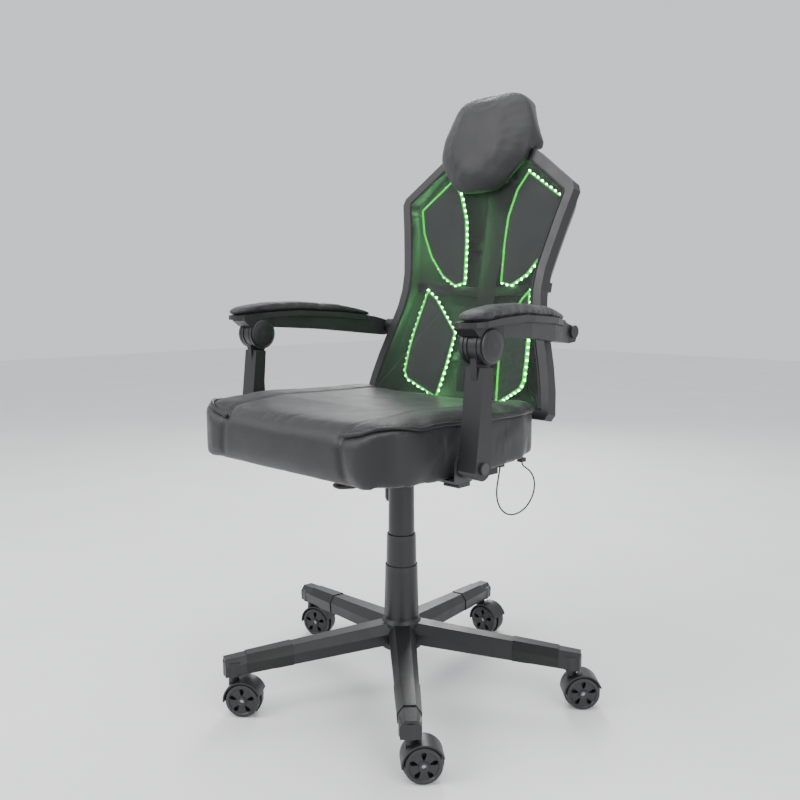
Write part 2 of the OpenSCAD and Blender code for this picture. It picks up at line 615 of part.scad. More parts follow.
module wheels(i) {
  color("#2a2a2c") caster_place(i) translate([ trail, 0, wheel_r ]) for (s = [ 90, -90 ]) rotate([ s, 0, 0 ])
    difference() {
      rotate_extrude() polygon([ [ 4 + run, gap ], [ wheel_r - 2, gap ], [ wheel_r, gap + 2 ],
        [ wheel_r, gap + wheel_width - 4 ], [ wheel_r - 2, gap + wheel_width - 1 ], [ wheel_r - 7,
          gap + wheel_width ],
        [ wheel_r - 8.5, gap + wheel_width - 2 ], [ 9, gap + wheel_width - 2 ], [ 8, gap + wheel_width ],
        [ 4 + run, gap + wheel_width ] ]);
      for (k = [ 0 : 4 ]) rotate([ 0, 0, 72 * k + 18 ]) translate([ 0, 0, gap + 4 ]) {
        translate([ wheel_r - 12.5, 0, 0 ]) cylinder(r = 4.2, h = 40, $fn = 32);
        linear_extrude(height = 40) polygon([ [ 10.5, -1.2 ], [ wheel_r - 13.5, -4.1 ],
          [ wheel_r - 13.5, 4.1 ], [ 10.5, 1.2 ] ]);
      }
    }
}

star_base();
leg_grips();
lift_tube();
lower_sleeve();
middle_sleeve();
upper_sleeve();
lift_rod();
tilt_housing();
tilt_pin();
height_lever();
tension_knob();
seat_plate();
seat_board();
seat_cushion();
seat_bolts();
arm_bracket(1);  // arm_bracket_left
arm_bracket(-1);  // arm_bracket_right
foot_pin(1);  // foot_pin_left
foot_pin(-1);  // foot_pin_right
recline_bracket(1);  // recline_bracket_left
recline_bracket(-1);  // recline_bracket_right
recline_pin(1);  // recline_pin_left
recline_pin(-1);  // recline_pin_right
light_controller();
battery_strap();
light_lead();
lead_clips();
back_frame();
back_spine();
back_mesh();
back_panels();
light_strips();
head_bracket();
head_cushion();
back_screws();
post();  // post_left
mirror([ 1, 0, 0 ]) post();  // post_right
arm();  // arm_left
mirror([ 1, 0, 0 ]) arm();  // arm_right
arm_pad();  // arm_pad_left
mirror([ 1, 0, 0 ]) arm_pad();  // arm_pad_right
elbow_pin();  // elbow_pin_left
mirror([ 1, 0, 0 ]) elbow_pin();  // elbow_pin_right
elbow_caps();  // elbow_caps_left
mirror([ 1, 0, 0 ]) elbow_caps();  // elbow_caps_right
fork(0);  // fork_1
stem(0);  // stem_1
wheels(0);  // wheels_1
fork(1);  // fork_2
stem(1);  // stem_2
wheels(1);  // wheels_2
fork(2);  // fork_3
stem(2);  // stem_3
wheels(2);  // wheels_3
fork(3);  // fork_4
stem(3);  // stem_4
wheels(3);  // wheels_4
fork(4);  // fork_5
stem(4);  // stem_5
wheels(4);  // wheels_5
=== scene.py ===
# %% [markdown]
# # A gaming chair, dressed
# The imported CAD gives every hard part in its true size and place. This lesson loads it as a fixed
# frame and adds what CAD leaves plain: leather, mesh cloth, moulded plastic, stitches and light.
# Everything is in metres, Z up, the front of the chair towards -Y.

# %% Load the frame
import bpy, bmesh, math
import numpy as np
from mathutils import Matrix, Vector, noise


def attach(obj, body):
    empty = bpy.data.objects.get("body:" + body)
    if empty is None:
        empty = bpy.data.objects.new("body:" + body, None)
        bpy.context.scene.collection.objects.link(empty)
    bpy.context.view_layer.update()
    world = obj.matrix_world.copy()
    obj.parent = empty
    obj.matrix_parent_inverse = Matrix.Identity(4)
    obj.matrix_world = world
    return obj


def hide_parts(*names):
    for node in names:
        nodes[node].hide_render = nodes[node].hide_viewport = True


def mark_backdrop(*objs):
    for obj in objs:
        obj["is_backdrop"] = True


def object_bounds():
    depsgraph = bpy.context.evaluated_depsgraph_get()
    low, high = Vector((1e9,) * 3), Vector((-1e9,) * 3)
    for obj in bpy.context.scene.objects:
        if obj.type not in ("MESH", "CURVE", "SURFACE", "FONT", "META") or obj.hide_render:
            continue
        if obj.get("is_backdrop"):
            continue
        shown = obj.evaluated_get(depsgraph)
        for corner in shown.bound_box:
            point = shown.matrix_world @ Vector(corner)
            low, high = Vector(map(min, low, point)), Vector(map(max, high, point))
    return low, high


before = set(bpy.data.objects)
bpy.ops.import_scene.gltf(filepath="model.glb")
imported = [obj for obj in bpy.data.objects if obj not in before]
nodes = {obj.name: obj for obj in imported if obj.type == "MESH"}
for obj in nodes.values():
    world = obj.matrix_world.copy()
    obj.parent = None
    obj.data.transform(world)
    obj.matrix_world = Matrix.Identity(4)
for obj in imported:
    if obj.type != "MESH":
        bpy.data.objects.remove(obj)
cad_box = [list(p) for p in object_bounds()]
scene = bpy.context.scene

# %% [markdown]
# ## Camera
# A camera is placed by where it stands and how far it looks down. The chair is seen from the
# sitter's left front, a little above the seat. With the lens at 37.4 mm on a 36 mm sensor the
# perspective is that of a studio shot from about a metre and a half.

# %% Camera
CAM_AZ, CAM_OUT, CAM_UP, CAM_DOWN = math.radians(43.97), 1.5742, 0.7702, 0.1264
CAM_TURN = 0.0018
cam_data = bpy.data.cameras.new("camera")
cam_data.lens, cam_data.sensor_width = 37.36, 36
cam_data.clip_start = 0.05
camera = bpy.data.objects.new("camera", cam_data)
scene.collection.objects.link(camera)
camera.location = (CAM_OUT * math.sin(CAM_AZ), -CAM_OUT * math.cos(CAM_AZ), CAM_UP)
camera.rotation_euler = (math.pi / 2 - CAM_DOWN, 0, CAM_AZ + CAM_TURN)
scene.camera = camera
print("camera at", [round(c, 3) for c in camera.location])

# %% [markdown]
# ## The lead of the lights
# The lights are fed by a thin rubber lead that drops out of a clip under the seat, hangs in one
# free loop and goes back into a second clip. It could be a bevelled curve; a tube of rings gives
# one closed mesh that is easy to measure, so the route's points are smoothed and swept by hand.

# %% Lead helper and route
def smooth_route(points, steps):
    p = [np.array(q, float) for q in points]
    p = [2 * p[0] - p[1]] + p + [2 * p[-1] - p[-2]]
    out = []
    for i in range(1, len(p) - 2):
        a, b, c, d = p[i - 1], p[i], p[i + 1], p[i + 2]
        for s in range(steps):
            u = s / steps
            out.append((2 * b + (c - a) * u + (2 * a - 5 * b + 4 * c - d) * u * u
                        + (3 * b - a - 3 * c + d) * u ** 3) / 2)
    return out + [p[-2]]


def add_mesh(name, verts, faces, smooth=True):
    me = bpy.data.meshes.new(name)
    me.from_pydata([tuple(v) for v in verts], [], [tuple(f) for f in faces])
    me.validate()
    me.update()
    ob = bpy.data.objects.new(name, me)
    scene.collection.objects.link(ob)
    if smooth:
        me.polygons.foreach_set("use_smooth", [True] * len(me.polygons))
    return ob


def tube(name, route, radius, sides=12, closed=False):
    """One closed tube along a route of points."""
    route = [Vector(p) for p in route]
    n = len(route)
    verts, faces = [], []
    t0 = (route[1] - route[0]).normalized()
    side = t0.orthogonal().normalized()
    for i, p in enumerate(route):
        a = route[(i - 1) % n] if closed or i > 0 else route[0]
        b = route[(i + 1) % n] if closed or i < n - 1 else route[-1]
        t = (b - a).normalized()
        side = (side - t * side.dot(t)).normalized()
        up = t.cross(side)
        for j in range(sides):
            w = 2 * math.pi * j / sides
            verts.append(p + radius * (side * math.cos(w) + up * math.sin(w)))
    rings = n if closed else n - 1
    for i in range(rings):
        for j in range(sides):
            a, b = i * sides + j, i * sides + (j + 1) % sides
            c, d = ((i + 1) % n) * sides + (j + 1) % sides, ((i + 1) % n) * sides + j
            faces.append((a, b, c, d))
    if not closed:
        faces.append(tuple(range(sides))[::-1])
        faces.append(tuple((n - 1) * sides + j for j in range(sides)))
    return add_mesh(name, verts, faces)


BOARD_LOW = 0.478
LEAD_X = 0.226
LEAD_RADIUS = 0.0014
lead_points = [(14, -2), (13, -14), (9, -30), (6, -46), (7, -62), (13, -76), (25, -89), (42, -98),
               (62, -101), (84, -98), (102, -89), (115, -75), (120, -58), (116, -42), (105, -29),
               (91, -20), (81, -13), (78, -2)]
lead_route = [Vector((LEAD_X, y / 1000, BOARD_LOW + z / 1000))
              for y, z in smooth_route(lead_points, 3)]
lead = tube("hanging_lead", lead_route, LEAD_RADIUS)

# %% [markdown]
# ## Materials
# Black things are never one black. Moulded plastic is told from leather by the size of its grain
# and by how sharp its highlights are. Each finish below is a small node tree: noise or a cell
# pattern in Object coordinates drives bump, roughness and a slight change of colour.

# %% Material helper
def finish(name, colour, rough, metal=0.0, spec=0.5, coat=0.0, sheen=0.0, emit=None, power=0.0):
    m = bpy.data.materials.new(name)
    m.use_nodes = True
    nt = m.node_tree
    b = nt.nodes["Principled BSDF"]
    b.inputs["Base Color"].default_value = (*colour, 1)
    b.inputs["Roughness"].default_value = rough
    b.inputs["Metallic"].default_value = metal
    b.inputs["Specular IOR Level"].default_value = spec
    b.inputs["Coat Weight"].default_value = coat
    b.inputs["Coat Roughness"].default_value = 0.25
    b.inputs["Sheen Weight"].default_value = sheen
    if emit:
        b.inputs["Emission Color"].default_value = (*emit, 1)
        b.inputs["Emission Strength"].default_value = power
    m.diffuse_color = (*colour, 1)
    return m, nt, b


def coords(nt, scale=(1, 1, 1), turn=(0, 0, 0)):
    tc = nt.nodes.new("ShaderNodeTexCoord")
    mp = nt.nodes.new("ShaderNodeMapping")
    mp.inputs["Scale"].default_value = scale
    mp.inputs["Rotation"].default_value = turn
    nt.links.new(tc.outputs["Object"], mp.inputs["Vector"])
    return mp.outputs["Vector"]


def noise_tex(nt, vec, scale, detail=3, rough=0.55):
    n = nt.nodes.new("ShaderNodeTexNoise")
    n.inputs["Scale"].default_value = scale
    n.inputs["Detail"].default_value = detail
    n.inputs["Roughness"].default_value = rough
    nt.links.new(vec, n.inputs["Vector"])
    return n.outputs["Fac"]


def cells_tex(nt, vec, scale, feature="DISTANCE_TO_EDGE"):
    n = nt.nodes.new("ShaderNodeTexVoronoi")
    n.feature = feature
    n.inputs["Scale"].default_value = scale
    nt.links.new(vec, n.inputs["Vector"])
    return n.outputs["Distance"]


def ramp(nt, fac, stops):
    r = nt.nodes.new("ShaderNodeValToRGB")
    while len(r.color_ramp.elements) < len(stops):
        r.color_ramp.elements.new(0.5)
    for e, (p, c) in zip(r.color_ramp.elements, stops):
        e.position = p
        e.color = (*c, 1) if len(c) == 3 else c
    nt.links.new(fac, r.inputs["Fac"])
    return r.outputs["Color"]


def grey(v):
    return (v, v, v)


def bump(nt, b, height, strength, distance, below=None):
    n = nt.nodes.new("ShaderNodeBump")
    n.inputs["Strength"].default_value = strength
    n.inputs["Distance"].default_value = distance
    nt.links.new(height, n.inputs["Height"])
    if below is not None:
        nt.links.new(below, n.inputs["Normal"])
    nt.links.new(n.outputs["Normal"], b.inputs["Normal"])
    return n.outputs["Normal"]


def painted_edge_highlight(nt, colour, highlight_colour, amount=0.6):
    """Painted highlight: convex edges are a little lighter, read from how pointed the surface is."""
    g = nt.nodes.new("ShaderNodeNewGeometry")
    r = ramp(nt, g.outputs["Pointiness"], [(0.49, grey(0)), (0.56, grey(amount))])
    mix = nt.nodes.new("ShaderNodeMix")
    mix.data_type = "RGBA"
    mix.inputs["A"].default_value = (*colour, 1)
    mix.inputs["B"].default_value = (*highlight_colour, 1)
    nt.links.new(r, mix.inputs["Factor"])
    return mix.outputs["Result"]


print("helpers ready")

# %% [markdown]
# ## Moulded plastic
# The base, the back frame and the armrests are spark-textured nylon: a fine even grain that
# breaks up the highlight. Small cells give the grain, a slow noise makes the polish uneven.

# %% Plastics
def moulded(name, colour, rough, grain=900, depth=0.00012, spec=0.45, coat=0.0):
    m, nt, b = finish(name, colour, rough, spec=spec, coat=coat)
    v = coords(nt)
    bump(nt, b, noise_tex(nt, v, grain, 2), 0.35, depth)
    slow = noise_tex(nt, v, 14, 4)
    nt.links.new(ramp(nt, slow, [(0.3, grey(rough - 0.06)), (0.7, grey(rough + 0.08))]),
                 b.inputs["Roughness"])
    # painted highlight: the convex edges of the plastic get this lighter colour
    light = tuple(min(1, c * 1.9 + 0.004) for c in colour)
    shade = nt.nodes.new("ShaderNodeMix")
    shade.data_type = "RGBA"
    nt.links.new(slow, shade.inputs["Factor"])
    nt.links.new(painted_edge_highlight(nt, colour, light), shade.inputs["A"])
    shade.inputs["B"].default_value = (*[c * 1.25 for c in colour], 1)
    nt.links.new(shade.outputs["Result"], b.inputs["Base Color"])
    return m


NYLON_BLACK = (0.0105, 0.0105, 0.0115)
NYLON = moulded("base_nylon", NYLON_BLACK, 0.42)
FRAME_PLASTIC = moulded("frame_plastic", NYLON_BLACK, 0.40)
CAP_PLASTIC = moulded("cap_plastic", (0.016, 0.016, 0.0175), 0.36, grain=1400)
SLEEVE = moulded("sleeve_plastic", (0.012, 0.012, 0.013), 0.33, grain=500, depth=0.00005)
WHEEL = moulded("wheel_nylon", (0.017, 0.017, 0.019), 0.38, grain=700)
BOX_PLASTIC = moulded("control_box_plastic", (0.012, 0.012, 0.013), 0.45)
PANEL = moulded("panel_plastic", (0.075, 0.082, 0.085), 0.38, grain=500)

GRIP, nt, b = finish("grip_insert", (0.005, 0.005, 0.006), 0.3, spec=0.35, coat=0.15)
pits = cells_tex(nt, coords(nt), 260)
nt.links.new(ramp(nt, pits, [(0.0, grey(0.003)), (0.3, grey(0.008))]), b.inputs["Base Color"])
bump(nt, b, pits, 0.35, 0.0003)
print("plastics made")

# %% [markdown]
# ## Metals and wood
# The lift rod is hard chrome, pins are zinc plated and slightly brushed, and the pressed steel
# under the seat is powder coated with a faint orange-peel. The board under the seat is plywood.

# %% Metals, wood, rubber, webbing
CHROME, nt, b = finish("rod_chrome", (0.72, 0.73, 0.75), 0.12, metal=1)
v = coords(nt, (1, 1, 60))
nt.links.new(ramp(nt, noise_tex(nt, v, 30, 2), [(0.3, grey(0.06)), (0.7, grey(0.2))]),
             b.inputs["Roughness"])

ZINC, nt, b = finish("pin_zinc", (0.34, 0.35, 0.37), 0.34, metal=1)
v = coords(nt)
nt.links.new(ramp(nt, noise_tex(nt, v, 260, 4), [(0.3, grey(0.26)), (0.7, grey(0.46))]),
             b.inputs["Roughness"])
bump(nt, b, noise_tex(nt, v, 500, 2), 0.2, 0.0001)

COAT_BLACK = (0.013, 0.013, 0.014)
COAT, nt, b = finish("powder_coat", COAT_BLACK, 0.38, spec=0.5, coat=0.1)
v = coords(nt)
bump(nt, b, noise_tex(nt, v, 420, 3), 0.4, 0.0002)
# painted highlight: the convex edges of the powder coat are lighter
nt.links.new(painted_edge_highlight(nt, COAT_BLACK, (0.05, 0.05, 0.052)), b.inputs["Base Color"])

PLY, nt, b = finish("board_ply", (0.22, 0.13, 0.07), 0.6)
v = coords(nt, (1, 14, 14))
grain = noise_tex(nt, v, 9, 5, 0.6)
nt.links.new(ramp(nt, grain, [(0.3, (0.14, 0.075, 0.035)), (0.7, (0.33, 0.21, 0.12))]),
             b.inputs["Base Color"])
bump(nt, b, grain, 0.2, 0.0003)

RUBBER, nt, b = finish("lead_rubber", (0.012, 0.012, 0.012), 0.5)
bump(nt, b, noise_tex(nt, coords(nt), 900, 2), 0.3, 0.0001)

WEB, nt, b = finish("strap_webbing", (0.012, 0.012, 0.013), 0.85, sheen=0.3)
w = nt.nodes.new("ShaderNodeTexWave")
w.inputs["Scale"].default_value = 260
nt.links.new(coords(nt, (1, 1, 1), (0.6, 0.5, 0.8)), w.inputs["Vector"])
bump(nt, b, w.outputs["Fac"], 0.8, 0.0005)
print("metals made")

# %% [markdown]
# ## Artificial leather
# Two skins cover the chair. The smooth one has irregular pebbled cells under a mm wide, fine
# creases and a soft sheen. On the side panels the same skin is punched with rows of tiny holes;
# those rows are drawn as a bump and a darker dot in Object coordinates.

# %% Leather
def leather(name, colour, rough, cell=520, depth=0.00028, crease=26, holes=None, sheen=0.12):
    m, nt, b = finish(name, colour, rough, spec=0.42, sheen=sheen)
    b.inputs["Sheen Roughness"].default_value = 0.4
    v = coords(nt)
    warp = nt.nodes.new("ShaderNodeVectorMath")
    warp.operation = "ADD"
    wn = nt.nodes.new("ShaderNodeTexNoise")
    wn.inputs["Scale"].default_value = cell * 0.35
    sc = nt.nodes.new("ShaderNodeVectorMath")
    sc.operation = "SCALE"
    sc.inputs["Scale"].default_value = 0.0012
    nt.links.new(v, wn.inputs["Vector"])
    nt.links.new(wn.outputs["Color"], sc.inputs[0])
    nt.links.new(v, warp.inputs[0])
    nt.links.new(sc.outputs["Vector"], warp.inputs[1])
    pebble = ramp(nt, cells_tex(nt, warp.outputs["Vector"], cell), [(0.0, grey(0)), (0.25, grey(1))])
    n1 = bump(nt, b, pebble, 0.45, depth)
    creases = noise_tex(nt, v, crease, 6, 0.62)
    n2 = bump(nt, b, creases, 0.18, 0.0022, n1)
    slow = noise_tex(nt, v, 7, 3)
    nt.links.new(ramp(nt, creases, [(0.3, grey(rough - 0.05)), (0.72, grey(rough + 0.09))]),
                 b.inputs["Roughness"])
    dark = tuple(c * 0.72 for c in colour)
    tone = ramp(nt, slow, [(0.25, dark), (0.75, tuple(c * 1.25 for c in colour))])
    if holes:
        hx, size = holes
        hv = coords(nt, (1 / hx, 1 / hx, 0.0))
        cell_n = nt.nodes.new("ShaderNodeTexVoronoi")
        cell_n.voronoi_dimensions = "2D"
        cell_n.inputs["Scale"].default_value = 1.0
        cell_n.inputs["Randomness"].default_value = 0.0
        nt.links.new(hv, cell_n.inputs["Vector"])
        dot = ramp(nt, cell_n.outputs["Distance"], [(size * 0.75, grey(0)), (size, grey(1))])
        bump(nt, b, dot, 0.9, 0.0009, n2)
        mul = nt.nodes.new("ShaderNodeMix")
        mul.data_type = "RGBA"
        mul.blend_type = "MULTIPLY"
        mul.inputs["Factor"].default_value = 0.85
        nt.links.new(tone, mul.inputs["A"])
        nt.links.new(dot, mul.inputs["B"])
        tone = mul.outputs["Result"]
    nt.links.new(tone, b.inputs["Base Color"])
    return m


SEAT_SKIN = leather("seat_skin", (0.0125, 0.0125, 0.0135), 0.40)
SIDE_SKIN = leather("seat_side_skin_punched", (0.015, 0.015, 0.016), 0.46, holes=(0.0064, 0.31))
HEAD_SKIN = leather("head_skin", (0.018, 0.0175, 0.0195), 0.46, cell=620)
ARM_SKIN = leather("arm_skin", (0.013, 0.013, 0.014), 0.40, cell=800, depth=0.00018, crease=40)
PIPING_SKIN = leather("piping_skin", (0.007, 0.007, 0.008), 0.34, cell=900, depth=0.0001)
THREAD, nt, b = finish("thread", (0.02, 0.02, 0.021), 0.6, sheen=0.2)
bump(nt, b, noise_tex(nt, coords(nt), 2500, 1), 0.5, 0.0002)
print("leathers made")

# %% [markdown]
# ## Lights and back cloth
# The strips are a clear green diffuser with a row of small lamps on it, so there are two glowing
# finishes: a soft one for the strip and a much stronger one for each lamp. The back cloth is an
# open knit: one can see the lights through it, so its holes are left transparent.

# %% Light and mesh finishes
GLOW, nt, b = finish("strip_glow", (0.02, 0.35, 0.06), 0.4, emit=(0.01, 1.0, 0.04), power=2.6)
v = coords(nt)
nt.links.new(ramp(nt, noise_tex(nt, v, 120, 2), [(0.35, (0.01, 0.2, 0.03)), (0.65, (0.03, 0.5, 0.09))]),
             b.inputs["Base Color"])
LAMP, nt, b = finish("lamp_glow", (0.3, 1.0, 0.4), 0.3, emit=(0.25, 1.0, 0.32), power=110)
nt.links.new(ramp(nt, noise_tex(nt, coords(nt), 300, 1),
                  [(0.2, (0.2, 0.9, 0.3)), (0.8, (0.5, 1.0, 0.55))]),
             b.inputs["Base Color"])

MESH, nt, b = finish("back_knit", (0.009, 0.009, 0.010), 0.7, sheen=0.15)
KNIT_CELL = 0.0021
v = coords(nt, (1 / KNIT_CELL, 0.0, 1 / KNIT_CELL))
flat = nt.nodes.new("ShaderNodeSeparateXYZ")
nt.links.new(v, flat.inputs["Vector"])
join = nt.nodes.new("ShaderNodeCombineXYZ")
nt.links.new(flat.outputs["X"], join.inputs["X"])
nt.links.new(flat.outputs["Z"], join.inputs["Y"])
knit = nt.nodes.new("ShaderNodeTexVoronoi")
knit.voronoi_dimensions = "2D"
knit.inputs["Scale"].default_value = 1.0
knit.inputs["Randomness"].default_value = 0.12
nt.links.new(join.outputs["Vector"], knit.inputs["Vector"])
thread_mask = ramp(nt, knit.outputs["Distance"], [(0.40, grey(0)), (0.50, grey(1))])
bump(nt, b, knit.outputs["Distance"], 0.8, 0.0008)
clear = nt.nodes.new("ShaderNodeBsdfTransparent")
both = nt.nodes.new("ShaderNodeMixShader")
out = nt.nodes["Material Output"]
nt.links.new(thread_mask, both.inputs["Fac"])
nt.links.new(clear.outputs["BSDF"], both.inputs[1])
nt.links.new(b.outputs["BSDF"], both.inputs[2])
nt.links.new(both.outputs["Shader"], out.inputs["Surface"])
print("light and mesh finishes made")

# %% [markdown]
# ## Dress the CAD parts
# A part whose shape is right stays as CAD and only gets its finish. Each node name is matched to
# one finish; whatever a soft piece will replace is left out here.

# %% Finish on each CAD part
by_name = {
    "star_base": NYLON, "leg_grips": GRIP, "lift_tube": COAT, "lower_sleeve": SLEEVE,
    "middle_sleeve": SLEEVE, "upper_sleeve": SLEEVE, "lift_rod": CHROME,
    "tilt_housing": COAT, "tilt_pin": ZINC, "height_lever": NYLON, "tension_knob": NYLON,
    "seat_plate": COAT, "seat_board": PLY, "seat_bolts": ZINC,
    "light_controller": BOX_PLASTIC, "battery_strap": WEB, "lead_clips": NYLON,
    "back_frame": FRAME_PLASTIC, "back_spine": FRAME_PLASTIC, "back_panels": PANEL,
    "head_bracket": COAT, "back_screws": ZINC}
for side in ("left", "right"):
    by_name.update({f"arm_bracket_{side}": COAT, f"foot_pin_{side}": COAT,
                    f"recline_bracket_{side}": COAT, f"recline_pin_{side}": COAT,
                    f"post_{side}": FRAME_PLASTIC, f"arm_{side}": FRAME_PLASTIC,
                    f"elbow_pin_{side}": ZINC, f"elbow_caps_{side}": CAP_PLASTIC})
for i in range(1, 6):
    by_name.update({f"fork_{i}": FRAME_PLASTIC, f"stem_{i}": ZINC, f"wheels_{i}": WHEEL})
for name, mat in by_name.items():
    nodes[name].data.materials.clear()
    nodes[name].data.materials.append(mat)
print("dressed", len(by_name), "CAD parts")

# %% [markdown]
# ## How a cushion is made
# A cushion starts as a closed form a little smaller than its space. It is remeshed to an even
# grid, blown up by cloth pressure, and each point is held to a few millimetres of travel, so the
# faces crown and the sides pull in between corners. One subdivision then smooths it.

# %% Cushion helpers
def from_cad(name, node):
    """A merged copy of a CAD solid as a free mesh to work on."""
    me = nodes[node].data.copy()
    me.materials.clear()
    ob = bpy.data.objects.new(name, me)
    scene.collection.objects.link(ob)
    bm = bmesh.new()
    bm.from_mesh(me)
    bmesh.ops.remove_doubles(bm, verts=bm.verts, dist=0.00005)
    bmesh.ops.recalc_face_normals(bm, faces=bm.faces)
    bm.to_mesh(me)
    bm.free()
    return ob


def apply_all(ob):
    """Bake the modifiers into the mesh."""
    dg = bpy.context.evaluated_depsgraph_get()
    me = bpy.data.meshes.new_from_object(ob.evaluated_get(dg), preserve_all_data_layers=True,
                                           depsgraph=dg)
    ob.modifiers.clear()
    old = ob.data
    ob.data = me
    bpy.data.meshes.remove(old)
    me.polygons.foreach_set("use_smooth", [True] * len(me.polygons))
    return ob


def points_of(ob):
    co = np.zeros(len(ob.data.vertices) * 3)
    ob.data.vertices.foreach_get("co", co)
    return co.reshape(-1, 3)


def set_points(ob, co):
    ob.data.vertices.foreach_set("co", np.asarray(co, float).ravel())
    ob.data.update()


def remesh(ob, size):
    r = ob.modifiers.new("remesh", "REMESH")
    r.mode = "VOXEL"
    r.voxel_size = size
    r.use_smooth_shade = True
    return apply_all(ob)


def soften(ob, times, factor=0.5):
    s = ob.modifiers.new("soften", "SMOOTH")
    s.iterations = times
    s.factor = factor
    return apply_all(ob)


def inflate(ob, cap, pressure=4.0, frames=20):
    """Blow the piece up by cloth pressure, with no point moving more than cap."""
    before = points_of(ob)
    c = ob.modifiers.new("cloth", "CLOTH")
    c.settings.quality = 5
    c.settings.use_pressure = True
    c.settings.uniform_pressure_force = pressure
    c.settings.tension_stiffness = 15
    c.settings.compression_stiffness = 15
    c.settings.bending_stiffness = 0.5
    c.settings.effector_weights.gravity = 0
    c.collision_settings.use_self_collision = False
    scene.frame_start, scene.frame_end = 1, frames
    for f in range(1, frames + 1):
        scene.frame_set(f)
    dg = bpy.context.evaluated_depsgraph_get()
    after = np.zeros_like(before).ravel()
    ob.evaluated_get(dg).data.vertices.foreach_get("co", after)
    after = after.reshape(-1, 3)
    ob.modifiers.clear()
    scene.frame_set(1)
    move = after - before
    far = np.linalg.norm(move, axis=1, keepdims=True)
    far[far < 1e-9] = 1e-9
    set_points(ob, before + move / far * cap * np.tanh(far / cap))
    print("inflated", ob.name, "by up to", round(float((cap * np.tanh(far / cap)).max()) * 1000, 1), "mm")
    return ob


def subdivide(ob, levels=1):
    s = ob.modifiers.new("subdivide", "SUBSURF")
    s.levels = s.render_levels = levels
    return apply_all(ob)


def sewn(ob, lines, width, depth):
    """Press seam lines into a padded piece: every line is a list of points, and near it the
    surface sinks along its own normal."""
    co = points_of(ob)
    nor = np.zeros(len(co) * 3)
    ob.data.vertices.foreach_get("normal", nor)
    nor = nor.reshape(-1, 3)
    near = np.full(len(co), 9.0)
    for line in lines:
        line = [np.array(p, float) for p in line]
        for a, b in zip(line, line[1:]):
            d = b - a
            t = np.clip(((co - a) @ d) / (d @ d), 0, 1)
            near = np.minimum(near, np.linalg.norm(co - a - t[:, None] * d, axis=1))
    sink = depth * np.exp(-(near / width) ** 2)
    set_points(ob, co - nor * sink[:, None])


print("cushion helpers ready")

# %% [markdown]
# ## Back coordinates
# The back leans, so its pieces are written in its own plane: x across, n to the rear, v up the
# back. One function turns them into the chair's metres. A panel and its light strip are tilted
# again inside that plane, the upper pair backward and the lower pair inward.

# %% Back plane
LEAN, B0 = math.radians(13.17), Vector((0.0, 0.148, 0.544))
UPPER_TILT, LOWER_TURN = math.radians(8), math.radians(19.8)
UPPER_AXIS = (12, 440)
LOWER_AXIS = (155, 13)


def on_back(x, n, v):
    """Millimetres in the back's plane to metres on the chair."""
    n, v = n / 1000, v / 1000
    return B0 + Vector((x / 1000, n * math.cos(LEAN) + v * math.sin(LEAN),
                        -n * math.sin(LEAN) + v * math.cos(LEAN)))


def on_upper(x, n, v):
    """The upper panels are tilted backward about a line across the back."""
    (n0, v0), a = UPPER_AXIS, UPPER_TILT
    return (x, n0 + n * math.cos(a) - (v - v0) * math.sin(a),
            v0 + n * math.sin(a) + (v - v0) * math.cos(a))


def on_lower(x, n, v):
    """The lower panels are turned inward about a line up the back."""
    (x0, n0), a = LOWER_AXIS, LOWER_TURN
    return (x0 + (x - x0) * math.cos(a) + n * math.sin(a),
            n0 - (x - x0) * math.sin(a) + n * math.cos(a), v)


half = [(234, -6), (241, 6), (234, 50), (222, 96), (205, 148), (187, 205), (182, 240), (184, 278),
        (193, 320), (206, 375), (221, 432), (216, 446), (121, 519), (110, 523)]
outline = half + [(-x, v) for x, v in reversed(half)]
upper_panel = [(99, 481), (181, 424), (172, 375), (146, 323), (110, 281), (74, 260), (50, 266), (52, 345),
               (57, 397), (75, 449)]
lower_panel = [(132, 242), (149, 154), (154, 117), (157, 66), (149, 51), (78, 20), (66, 90), (58, 159),
               (112, 228)]


def grown(poly, d):
    """A closed polygon moved outward by d along its corners' bisectors."""
    p = [Vector(q) for q in poly]
    area = sum(a.x * b.y - b.x * a.y for a, b in zip(p, p[1:] + p[:1]))
    out = []
    for i in range(len(p)):
        a, b, c = p[i - 1], p[i], p[(i + 1) % len(p)]
        e, f = (b - a).normalized(), (c - b).normalized()
        n1, n2 = Vector((e.y, -e.x)), Vector((f.y, -f.x))
        m = (n1 + n2) * (1 if area > 0 else -1)
        out.append(b + m * d / max(1e-6, 1 + n1.dot(n2)))
    return [(q.x, q.y) for q in out]


def even(poly, count):
    """A closed polygon as count points at even distance."""
    p = np.array(poly + poly[:1], float)
    s = np.concatenate([[0], np.cumsum(np.linalg.norm(np.diff(p, axis=0), axis=1))])
    at = np.linspace(0, s[-1], count, endpoint=False)
    return [(float(np.interp(t, s, p[:, 0])), float(np.interp(t, s, p[:, 1]))) for t in at]


print("outline", len(outline), "corners")

# %% [markdown]
# ## Domed sheets
# The knit in front and the cover behind are both thin sheets on the frame's outline. Each is made
# of rings that shrink to the middle, once for the front face and once for the rear face. A height
# rule gives the sag: almost flat for the knit, a tray with a round rim for the cover.

# %% Domed sheet
def outward(ob):
    """Turn every face of a closed piece outward."""
    bm = bmesh.new()
    bm.from_mesh(ob.data)
    bmesh.ops.recalc_face_normals(bm, faces=bm.faces)
    bm.to_mesh(ob.data)
    bm.free()
    return ob


